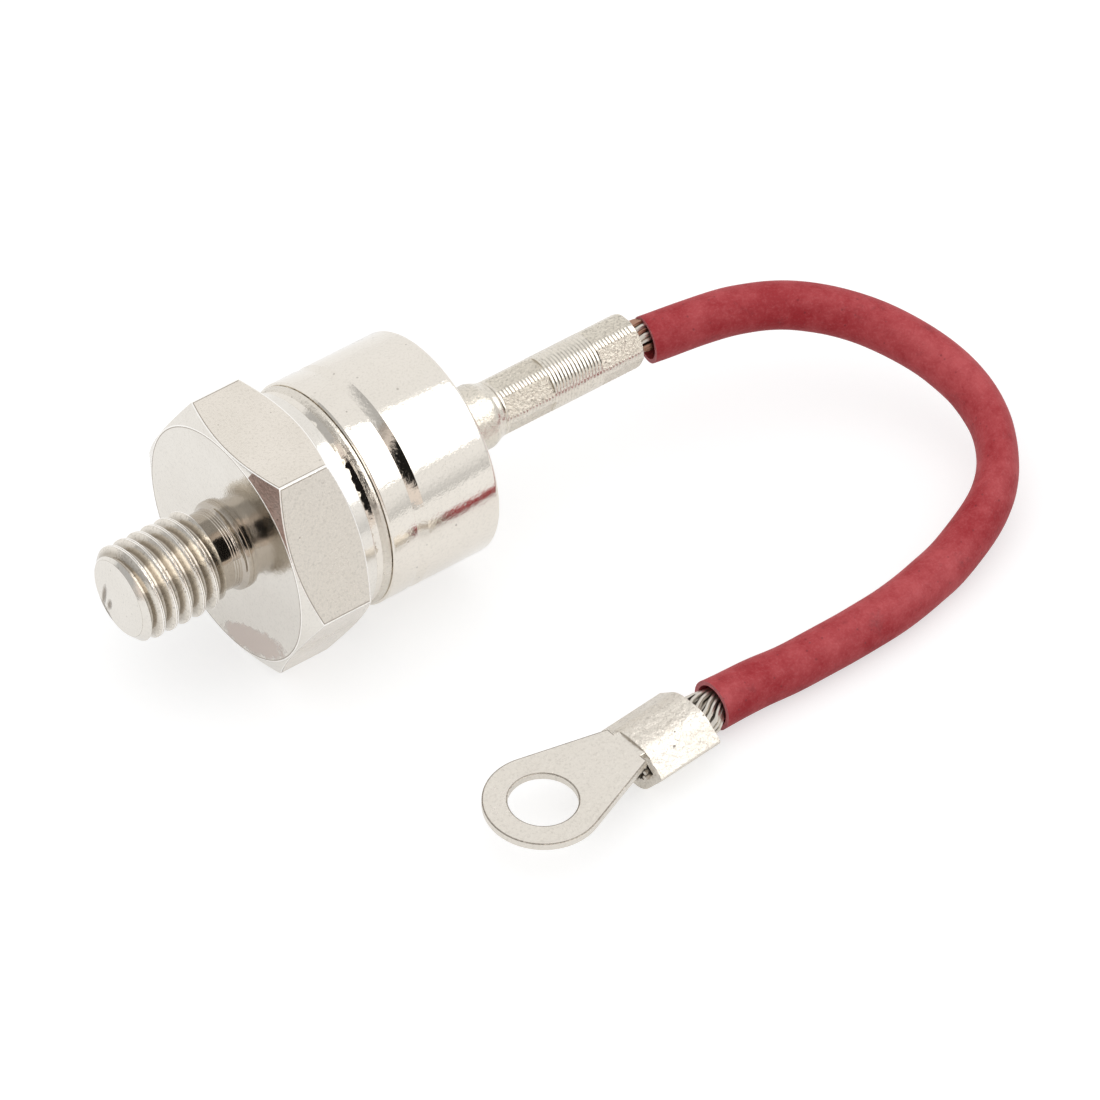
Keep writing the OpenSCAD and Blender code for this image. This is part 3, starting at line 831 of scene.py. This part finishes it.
# Edges and thread crests carry a painted highlight, the lightest lines on the part, and a painted dark line
# beside them draws a thin grey one.
edge_highlight_nickel = nickel("nickel plating with a painted highlight on edges and crests", ("#FFFDFA", "#F8F4EE"), (0.18, 0.25),
                     (0.3, 0.03), 0.5, 0.6, 0.05)
margin_dark_line_nickel = nickel("nickel plating with a painted dark line beside edges", ("#B9B0A5", "#9A9186"), (0.25, 0.35),
                       (0.3, 0.03), 0.5, 0.5, 0.3)
# One corner facet carries a painted dark red reflection, a dull reddish brown.
red_reflection_nickel = nickel("nickel facet with a painted dark red reflection", ("#A79C93", "#8C6153"), (0.2, 0.3),
                      (0.3, 0.05), 0.4, 0.7, 0.6)
# The thread is bright but full of dark pits. The neck is a sharper mirror whose darker colour is painted shade.
thread_nickel = nickel("nickel plating in a used thread", ("#EBE5DB", "#DAD3C8"), (0.12, 0.2),
                       (0.35, 0.02), 0.5, 0.8, 0.45)
neck_shade_nickel = nickel("nickel plating darkened by painted shade in the neck", ("#CBC3B8", "#B0A79B"), (0.06, 0.12), (0.4, 0.01), grain=0.2)
# Drawn steel is the smoothest: its reflections are sharp, with a slight wobble.
cap_nickel = nickel("nickel plating on drawn steel", ("#EDE7DE", "#E3DDD3"), (0.05, 0.11),
                    (0.42, 0.017), 0.9, 0.62)
# The tube gets duller in three steps: turned, rough at its foot, and matt where the jaws pressed.
tube_nickel = nickel("nickel plating on turned tube", ("#E9E3D8", "#D9D2C6"), (0.11, 0.19),
                     (0.3, 0.02), 0.7, 0.65, 0.35)
foot_nickel = nickel("nickel plating on a rough turned foot", ("#E6E0D4", "#D2CABD"), (0.2, 0.3),
                     (0.3, 0.07), 0.6, 0.65, 0.35)
crimp_nickel = nickel("nickel plating scuffed by crimp jaws", ("#E6DFD2", "#D0C8BA"), (0.3, 0.44),
                      (0.26, 0.16), grain=0.6)
# The weld bead breaks its reflections up into grains.
weld_nickel = nickel("nickel plating over rough weld", ("#E6E0D6", "#D2CBBF"), (0.22, 0.34),
                     (0.4, 0.06), grain=0.2)
print("platings ready")

# %% [markdown]
# The wear sits in its own places on the base. The thread's roots hold old dirt, which a mask of distance
# from the axis puts there. The seat face has a dull stain low down, and the stud's end has scratches:
# these are ragged ovals on the part's own coordinates, turned and sized to the marks in the picture.

# %% Wear on the base
MARK_EDGE, RAGGED_SIZE = 1.25, 0.7
ROOT_DIRT, DIRT_FROM, DIRT_TO = 0.6, 3.5 * MM, 3.84 * MM


def parts_of(material):
    """A material's node tree, its shader and its Object coordinates."""
    nodes = material.node_tree.nodes
    shader = next(made for made in nodes if made.type == "BSDF_PRINCIPLED")
    place = next(made for made in nodes if made.type == "TEX_COORD").outputs["Object"]
    return material.node_tree, shader, place


def wear_mark(material, centre, reach, lean, colour, roughness, depth, soft):
    """Adds a ragged oval mark on a face across X, its long side leaning by an angle, in millimetres."""
    tree, shader, place = parts_of(material)
    oval = add(tree, "Mapping",
               {"Location": Vector(centre) * MM, "Rotation": (lean, 0, 0), "Scale": [r * MM for r in reach]},
               {"Vector": place}, vector_type="TEXTURE")
    span = add(tree, "VectorMath", links={0: oval}, operation="LENGTH")
    ragged = add(tree, "TexNoise", {"Scale": per_mm(RAGGED_SIZE), "Detail": 6, "Roughness": 0.75},
                 {"Vector": place})
    total = add(tree, "Math", links={0: span, 1: ragged}, operation="ADD")
    mask = add(tree, "MapRange", {"From Min": MARK_EDGE - soft, "From Max": MARK_EDGE + soft,
                                  "To Min": 1, "To Max": 0}, {"Value": total})
    for socket, kind, value in (("Base Color", "RGBA", linear(colour)), ("Roughness", "FLOAT", roughness)):
        source = shader.inputs[socket].links[0].from_socket
        mix = add(tree, "Mix", {"B": value}, {"Factor": mask, "A": source}, data_type=kind)
        feed(tree, mix, shader, socket)
    old = shader.inputs["Normal"].links[0].from_socket
    rough = add(tree, "Math", links={0: mask, 1: ragged}, operation="MULTIPLY")
    dent = add(tree, "Bump", {"Strength": 1, "Distance": depth * MM}, {"Height": rough, "Normal": old})
    feed(tree, dent, shader, "Normal")


wear_mark(bar_nickel, (-14.2, -3.7, 2.5), (0.8, 5.7, 1.6), math.radians(-27), "#D2C6BE",
          roughness=0.34, depth=0.05, soft=0.06)
for on_end, length, lean in (((1.92, 8.7), 1.5, -81), ((1.44, 7.17), 1.3, 41), ((1.2, 8.3), 0.8, -75)):
    wear_mark(bar_nickel, (-24.2, *on_end), (0.5, length, 0.3), math.radians(lean), "#A0978C",
              roughness=0.35, depth=-0.12, soft=0.3)
tree, shader, place = parts_of(thread_nickel)
on_axis = add(tree, "Mapping", {"Location": (0, 0, -AXIS_Z), "Scale": (0, 1, 1)}, {"Vector": place})
radius = add(tree, "VectorMath", links={0: on_axis}, operation="LENGTH")
rooted = add(tree, "MapRange", {"From Min": DIRT_FROM, "From Max": DIRT_TO, "To Min": ROOT_DIRT, "To Max": 0},
             {"Value": radius})
grimed = add(tree, "Mix", {"B": linear("#8F8475")},
             {"Factor": rooted, "A": shader.inputs["Base Color"].links[0].from_socket}, data_type="RGBA")
feed(tree, grimed, shader, "Base Color")
print("stain, scratches and thread dirt ready")

# %% [markdown]
# One piece of metal can carry several finishes. The hexagon's flats are duller than its turned faces. Its edges
# and the thread's crests carry a painted highlight, with a painted dark line in thin margins beside them, and
# one corner facet carries a painted dark red reflection. On the tube, the crimp jaws left matt flats and the
# foot is rougher. The faces are told apart by their place and normal, and each gets the number of its finish.

# %% Finishes by face
TIP_FACE, TIP_CHAMFER, THREAD_END, SEAT_FACE = -9.95, -9.1, -2.05, -0.02
NECK_OUT, COLLAR_OUT, CREST_BAND = 5, 9.3, 0.05
BAR, FLAT, EDGE, THREAD, NECK, MARGIN, RED_FACET = range(7)


def part_of_base(face):
    """Number of the finish for one face of the stud base."""
    along = (face.center.x - SEAT_X) / MM
    out = Vector((0, face.center.y, face.center.z - AXIS_Z)).length / MM
    if along < TIP_FACE and face.normal.x < -0.9 or along < TIP_CHAMFER and -0.8 < face.normal.x < -0.65:
        return BAR
    if along < THREAD_END:
        # Thread crests carry the painted highlight.
        return EDGE if out > CREST_R - CREST_BAND and abs(face.normal.x) < 0.5 else THREAD
    # The neck carries darker plating, which is painted shade.
    if along < SEAT_FACE and out < NECK_OUT:
        return NECK
    if out < COLLAR_OUT or along > HEX_LENGTH + 0.01:
        return BAR
    tilt = math.degrees(math.asin(min(1, abs(face.normal.x))))
    turn = abs(math.degrees(math.atan2(face.normal.z, face.normal.y)) % 60 - 30)
    if tilt < 2 and turn < 2:
        across = math.sqrt(max(0, out ** 2 - (HEX_AF / 2) ** 2))
        from_rim = min(along, HEX_LENGTH - along, HEX_AF / 2 / math.sqrt(3) - across,
                       (CONE_R + along / CONE_SLOPE - out) / 2)
        # A margin by the rim carries the painted dark line.
        return MARGIN if from_rim < EDGE_STRIP_WIDE + MARGIN_WIDE else FLAT
    if tilt > 88:
        return MARGIN if out > CONE_R - EDGE_STRIP_WIDE - MARGIN_WIDE else BAR
    if abs(tilt - 60) < 3:
        # The near-top corner facet carries a painted dark red reflection.
        red_corner = face.center.y < -3 * MM and face.center.z > AXIS_Z + 5 * MM and along < 2
        return RED_FACET if red_corner else BAR
    # The slanting rim strips carry the painted highlight.
    return EDGE


dress(base, bar_nickel, flat_nickel, edge_highlight_nickel, thread_nickel, neck_shade_nickel, margin_dark_line_nickel, red_reflection_nickel)
for face in base.data.polygons:
    face.material_index = part_of_base(face)
dress(cap, cap_nickel)
dress(ring, cap_nickel, weld_nickel)
for face in ring.data.polygons:
    face.material_index = int(face.center.x > SEAT_X + BEAD_FROM * MM)
dress(tube, tube_nickel, crimp_nickel, foot_nickel)
FOOT_END, CRIMPS_FROM = SEAT_X + 24 * MM, SEAT_X + 25.3 * MM
flats = 0
for face in tube.data.polygons:
    from_axis = (face.center - Vector((face.center.x, 0, AXIS_Z))).dot(face.normal) / MM
    pressed = abs(from_axis - CRIMP_AF / 2) < 0.004 and abs(face.normal.x) < 0.02
    if pressed and face.center.x > CRIMPS_FROM:
        face.material_index = 1
        flats += 1
    elif face.center.x < FOOT_END:
        face.material_index = 2
counts = [sum(face.material_index == number for face in base.data.polygons)
          for number in range(len(base.data.materials))]
print("faces of the base by finish", counts, "and crimp flats", flats)

# %% [markdown]
# Tin is softer and whiter than nickel, and this lug is matt from tumbling: the same recipe with more
# roughness. Its sheared edges are nicked and dark, and its barrel is the most matt, because the press
# crushed the tin there. The strands are drawn copper. About a third of them carry tin at the tube, and
# all of them do at the lug, so the wire's own number and its place choose between the two colours.

# %% Tin and copper
TINNED_PAST_Y, TINNED_ABOVE = -15 * MM, 0.66
tin = nickel("matt tin on copper sheet", ("#E6E0D7", "#DAD4CA"), (0.26, 0.36), (0.3, 0.05), 1.1, 0.35, 0.2)
rubbed_tin = nickel("tin nicked on sheared edges", ("#C4BCB1", "#665E55"), (0.2, 0.3), (0.3, 0.06),
                    0.5, 0.7, 0.6)
barrel_tin = nickel("matt tin on a pressed barrel", ("#E8E2D8", "#D6CFC4"), (0.36, 0.48), (0.45, 0.14),
                    0.9, 0.5, 0.4)
dress(lug, tin, rubbed_tin, barrel_tin)
for face in lug.data.polygons:
    if (face.center - BARREL_REAR).dot(LUG_HEADING) > -(BARREL_LENGTH + 0.3 * MM):
        face.material_index = 2
    else:
        face.material_index = int(0.3 < abs(face.normal.z) < 0.97)
wire, tree, shader, place = blank("drawn copper wire, partly tinned", {"Metallic": 1, "Roughness": 0.3})
number = add(tree, "Attribute", attribute_name="wire_tone").outputs["Fac"]
split = add(tree, "SeparateXYZ", links={"Vector": place})
at_lug = add(tree, "Math", {1: TINNED_PAST_Y}, {0: split.outputs["Y"]}, operation="LESS_THAN")
bare_tin = add(tree, "Math", {1: TINNED_ABOVE}, {0: number}, operation="GREATER_THAN")
tinned = add(tree, "Math", links={0: at_lug, 1: bare_tin}, operation="MAXIMUM")
shade = add(tree, "Mix", {"A": linear("#A98370"), "B": linear("#D2CCC2")}, {"Factor": tinned}, data_type="RGBA")
feed(tree, shade, shader, "Base Color")
dress(strands, wire)
smooth_over(strands, 50)
print("tin and copper ready")

# %% [markdown]
# The sleeve is extruded silicone rubber: matt, brick red, with a chalky bloom, darker smudges from
# handling and faint lengthwise drawing lines. The bloom is noise a few millimetres wide, and the lines
# run on the sleeve's own lengthwise map, so they follow the bend.

# %% Red sleeving
rubber, tree, shader, place = blank("red silicone sleeving", {
    "Roughness": 0.58, "Specular IOR Level": 0.28, "Sheen Weight": 0.08, "Sheen Tint": linear("#E8A8A8"),
})
handled = add(tree, "TexNoise", {"Scale": per_mm(9), "Detail": 2, "Roughness": 0.5}, {"Vector": place})
bloom = add(tree, "TexNoise", {"Scale": per_mm(1.6), "Detail": 5, "Roughness": 0.7}, {"Vector": place})
even = add(tree, "Math", {1: 0.5}, {0: handled}, operation="MULTIPLY")
blotch = add(tree, "Math", {1: 0.5}, {0: bloom, 2: even}, operation="MULTIPLY_ADD")
red = add(tree, "ValToRGB", links={"Fac": blotch})
for stop, at, colour in zip(red.color_ramp.elements, (0.40, 0.62), ("#A01E27", "#C04E52")):
    stop.position, stop.color = at, linear(colour)
smudge = add(tree, "TexNoise", {"Scale": per_mm(2.6), "Detail": 6, "Roughness": 0.75}, {"Vector": place})
dirt = add(tree, "MapRange", {"From Min": 0.58, "From Max": 0.76, "To Max": 0.55}, {"Value": smudge})
specks = add(tree, "TexVoronoi", {"Scale": per_mm(0.9)}, {"Vector": place})
spots = add(tree, "MapRange", {"From Min": 0.06, "From Max": 0.13, "To Min": 0.5, "To Max": 0},
            {"Value": specks})
dark_spots = add(tree, "Math", links={0: dirt, 1: spots}, operation="MAXIMUM")
grimy = add(tree, "Mix", {"B": linear("#5E1F26")}, {"Factor": dark_spots, "A": red}, data_type="RGBA")
chalk = add(tree, "TexNoise", {"Scale": per_mm(0.2), "Detail": 2, "Roughness": 0.6}, {"Vector": place})
chalked = add(tree, "MapRange", {"From Min": 0.5, "From Max": 0.85, "To Max": 0.14}, {"Value": chalk})
dusty = add(tree, "Mix", {"B": linear("#D08286")}, {"Factor": chalked, "A": grimy}, data_type="RGBA")
feed(tree, dusty, shader, "Base Color")
print("sleeve coloured")

# %% Drawing lines and cut ends
follow = add(tree, "UVMap", uv_map="lengthwise")
stretch = add(tree, "Mapping", {"Scale": (0.15, 40, 1)}, {"Vector": follow})
lines = add(tree, "TexNoise", {"Scale": 1, "Detail": 3}, {"Vector": stretch})
grain = add(tree, "TexNoise", {"Scale": per_mm(0.25), "Detail": 3}, {"Vector": place})
relief = add(tree, "Math", links={0: lines, 1: grain}, operation="ADD")
bump = add(tree, "Bump", {"Strength": 1, "Distance": 0.03 * MM}, {"Height": relief})
feed(tree, bump, shader, "Normal")


def mottled(name, colours, size, detail, metallic, roughness):
    """A plain finish whose colour drifts between two, in clouds of a size in millimetres."""
    material, tree, shader, place = blank(name, {"Metallic": metallic, "Roughness": roughness})
    clouds = add(tree, "TexNoise", {"Scale": per_mm(size), "Detail": detail}, {"Vector": place})
    tint = add(tree, "Mix", {"A": linear(colours[0]), "B": linear(colours[1])},
               {"Factor": clouds}, data_type="RGBA")
    feed(tree, tint, shader, "Base Color")
    return material


# A fresh cut is paler and fully matt.
cut_rubber = mottled("freshly cut silicone", ("#B5545B", "#CB7F83"), 0.3, 3, 0, 0.7)
dress(sleeve, rubber, cut_rubber)
for index in cut_ends:
    sleeve.data.polygons[index].material_index = 1
smooth_over(sleeve, 50)
print("sleeve dressed")

# %% [markdown]
# The glass is a dull green sealing glass, nearly opaque, so a glossy clouded green gives it. The pieces
# inside the cap never show, but each carries the finish of its real metal, on its own solid: copper is
# reddish and drawn, molybdenum a ground grey, silicon a dark lapped blue.

# %% Glass and inner pieces
seal = mottled("fused sealing glass", ("#3F5A50", "#56736A"), 1.2, 4, 0, 0.12)
copper = mottled("drawn copper rod", ("#A8663F", "#C78659"), 1.5, 4, 1, 0.35)
moly = mottled("ground molybdenum", ("#85878B", "#9A9C9F"), 1.5, 4, 1, 0.4)
silicon = mottled("lapped silicon", ("#3A404B", "#4C5360"), 1.5, 4, 0, 0.3)
dress(glass, seal)
for node_name, finish in (
    ("inner_stem", copper), ("upper_plate", moly), ("lower_plate", moly), ("silicon_die", silicon),
):
    dress(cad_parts[node_name], finish)
print("inner pieces dressed")

# %% [markdown]
# ## Hang the pieces on the model
# Nothing on this diode moves, so every piece rides on the one body, root. Each new piece is listed with the
# solid it stands for, which is hidden, and with a finish of the record.

# %% Ride and replace
for piece, node_name, finish in (
    (base, "stud_base", "nickel_plated_copper"), (ring, "weld_ring", "weld_steel"),
    (cap, "cap", "nickel_plated_steel"), (glass, "glass_seal", "seal_glass"),
    (tube, "terminal_tube", "nickel_plated_copper"), (strands, "lead_conductor", "bare_copper"),
    (sleeve, "lead_sleeve", "red_sleeving"), (lug, "ring_lug", "tinned_copper"),
):
    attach(piece, "root")
    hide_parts(node_name)
run_of(sleeve_path)[-1]
[tuple(p) for p in sleeve_path]
print("pieces hung")

# %% [markdown]
# ## Studio
# The photograph was made in a white light tent: a pale floor, white all round, one large soft panel
# overhead on the lead's near side, and the dark opening behind the lens, which shows as dark crescents in
# every groove. The world is white to the camera and to mirrors and gentler as light, apart from an unlit
# part of the ceiling on the stud's side, which the metal shows as grey. The panel is an area lamp, and
# the opening is a dark disc behind the camera that the camera itself doesn't see.

# %% Floor
FLOOR_TO_CAMERA, FLOOR_IN_METAL = 0.58, 0.5
bpy.ops.object.select_all(action="DESELECT")
bpy.ops.mesh.primitive_plane_add(size=6)
floor = bpy.context.object
floor.name = "tent_floor"
paper, tree, shader, _ = blank("white paper floor", {
    "Base Color": linear("#C6C6C6"), "Roughness": 0.9, "Specular IOR Level": 0.1,
    "Emission Color": (1, 1, 1, 1),
})
rays = add(tree, "LightPath")
mirrored = add(tree, "Math", {1: FLOOR_IN_METAL}, {0: rays.outputs["Is Glossy Ray"]}, operation="MULTIPLY")
fill = add(tree, "Math", {1: FLOOR_TO_CAMERA}, {0: rays.outputs["Is Camera Ray"], 2: mirrored},
           operation="MULTIPLY_ADD")
feed(tree, fill, shader, "Emission Strength")
dress(floor, paper)
print("floor ready")

# %% Opening behind the camera
OPENING_R, OPENING_FAR, DARK_R, RIM_R = 0.85, 0.87, 0.46, 0.50
opening_turn, opening_rise = math.radians(-128), math.radians(36)
toward = Vector((
    math.cos(opening_rise) * math.cos(opening_turn), math.cos(opening_rise) * math.sin(opening_turn),
    math.sin(opening_rise),
))
bpy.ops.mesh.primitive_circle_add(vertices=64, radius=OPENING_R, fill_type="NGON")
opening = bpy.context.object
opening.name = "tent_opening"
opening.matrix_world = (Matrix.Translation(toward * OPENING_FAR)
                        @ toward.to_track_quat("Z", "Y").to_matrix().to_4x4())
opening.visible_camera = opening.visible_diffuse = opening.visible_shadow = False
dark, tree, shader, place = blank("dark tent opening", {
    "Base Color": (0, 0, 0, 1), "Specular IOR Level": 0, "Emission Color": linear("#FFF4EC"),
})
from_middle = add(tree, "VectorMath", links={0: place}, operation="LENGTH")
gap = add(tree, "MapRange", {"From Min": DARK_R, "From Max": RIM_R, "To Min": 0.012, "To Max": 1},
          {"Value": from_middle}, interpolation_type="SMOOTHSTEP")
heights = add(tree, "SeparateXYZ", links={"Vector": place})
flap = add(tree, "MapRange", {"From Min": DARK_R, "From Max": OPENING_R, "To Min": 0.92, "To Max": 0.3},
           {"Value": heights.outputs["Y"]})
gloom = add(tree, "Math", links={0: gap, 1: flap}, operation="MULTIPLY")
feed(tree, gloom, shader, "Emission Strength")
dress(opening, dark)
print("opening ready")

# %% Lamps
PANEL_HEIGHT, PANEL_POWER, OVERHEAD_POWER = 0.6, 5.6, 2.2


def panel_lamp(name, place, size, power):
    """A rectangular soft lamp that shines straight down."""
    bpy.ops.object.light_add(type="AREA", location=place)
    lamp = bpy.context.object
    lamp.name = name
    lamp.data.shape = "RECTANGLE"
    lamp.data.size, lamp.data.size_y = size
    lamp.data.energy = power
    return lamp


panel = panel_lamp("panel_in_reflections", (1.02 * PANEL_HEIGHT, -0.72 * PANEL_HEIGHT, PANEL_HEIGHT),
                   (2 * PANEL_HEIGHT, 1.56 * PANEL_HEIGHT), PANEL_POWER)
panel.visible_diffuse = False
overhead = panel_lamp("soft_overhead", (-0.15, 0.1, 0.9), (1.2, 1.2), OVERHEAD_POWER)
overhead.visible_glossy = False
print("lamps ready")

# %% World
TENT_AS_LIGHT, TENT_NEAR_SIDE, TENT_UNLIT = 0.75, 0.68, 0.55
world = bpy.data.worlds.new("white tent")
bpy.context.scene.world = world
world.use_nodes = True
tree = world.node_tree
tree.nodes.clear()
rays = add(tree, "LightPath")
seen = add(tree, "Math", links={0: rays.outputs["Is Camera Ray"], 1: rays.outputs["Is Glossy Ray"]},
           operation="MAXIMUM")
seen = add(tree, "Math", links={0: seen, 1: rays.outputs["Is Transmission Ray"]}, operation="MAXIMUM")
ways = add(tree, "SeparateXYZ", links={"Vector": add(tree, "TexCoord").outputs["Generated"]})
near_side = add(tree, "MapRange", {"From Min": -0.1, "From Max": 0.35, "To Min": TENT_NEAR_SIDE, "To Max": 1},
                {"Value": ways.outputs["Y"]}, interpolation_type="SMOOTHSTEP")
skirt = add(tree, "MapRange", {"From Min": 0, "From Max": 0.3, "To Max": 1},
            {"Value": ways.outputs["Z"], "To Min": near_side}, interpolation_type="SMOOTHSTEP")
stud_side = add(tree, "MapRange", {"From Min": -0.02, "From Max": -0.08}, {"Value": ways.outputs["X"]})
ceiling = add(tree, "MapRange", {"From Min": 0.74, "From Max": 0.66}, {"Value": ways.outputs["Y"]})
unlit = add(tree, "Math", links={0: stud_side, 1: ceiling}, operation="MULTIPLY")
unlit = add(tree, "Math", links={0: unlit, 1: rays.outputs["Is Glossy Ray"]}, operation="MULTIPLY")
dim = add(tree, "MapRange", {"To Min": 1, "To Max": TENT_UNLIT}, {"Value": unlit})
tent_level = add(tree, "Math", links={0: skirt, 1: dim}, operation="MULTIPLY")
strength = add(tree, "MapRange", {"To Min": TENT_AS_LIGHT}, {"Value": seen, "To Max": tent_level})
tent = add(tree, "Background", {"Color": (1, 1, 1, 1)}, {"Strength": strength})
add(tree, "OutputWorld", links={"Surface": tent})
bpy.context.scene.view_settings.view_transform = "Standard"
print("studio ready")
